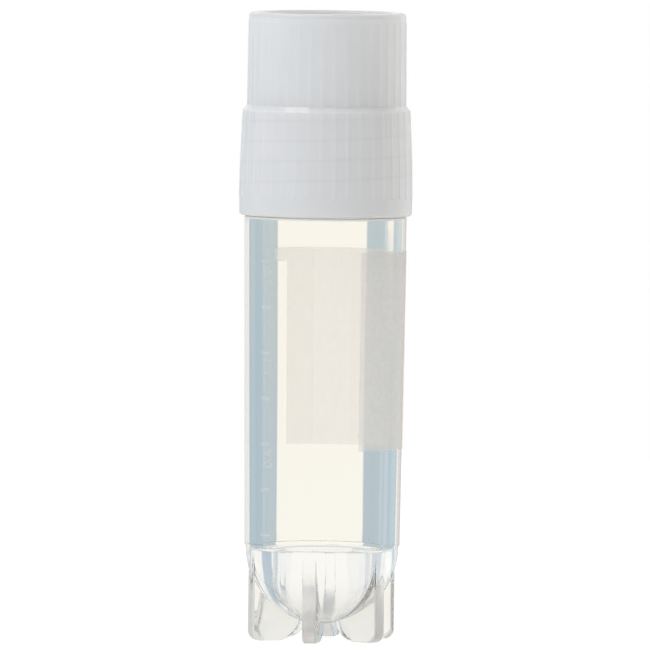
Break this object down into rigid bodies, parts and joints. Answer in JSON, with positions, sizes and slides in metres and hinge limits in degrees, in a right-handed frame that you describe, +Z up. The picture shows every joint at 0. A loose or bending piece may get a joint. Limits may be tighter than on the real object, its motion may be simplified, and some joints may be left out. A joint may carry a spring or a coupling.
{
  "type": "cryovial",
  "caption": "Self-standing clear cryogenic vial with a star foot, a printed writing patch and a ribbed white screw cap on an external thread.",
  "frame": {"origin": "on the vial's axis, at the plane that the star foot stands on", "axes": "+Z up along the vial's axis to the cap; -Y is the front, +X the side with the writing patch"},
  "size_m": [0.0134, 0.0134, 0.0483],
  "materials": {
    "clear_polypropylene": "clear, glossy",
    "white_polypropylene": "translucent white, satin",
    "silicone": "matt",
    "white_print": "matt print"
  },
  "bodies": {
    "vial": {"tube": "clear_polypropylene", "writing_patch": "white_print", "graduation_marks": "white_print"},
    "seal": {"gasket": "silicone"},
    "cap": {"screw_cap": "white_polypropylene"}
  },
  "joints": [
    {"name": "cap_lift", "type": "slide", "parent": "vial", "child": "seal", "axis": [0, 0, 1], "range_m": [0, 0.0093]},
    {"name": "cap_turn", "type": "hinge", "parent": "seal", "child": "cap", "pos_m": [0, 0, 0.037], "axis": [0, 0, 1], "range_deg": [0, 2160]}
  ],
  "couplings": [
    {"joint": "cap_turn", "follows": "cap_lift", "rad_per_m": 4053.7}
  ]
}
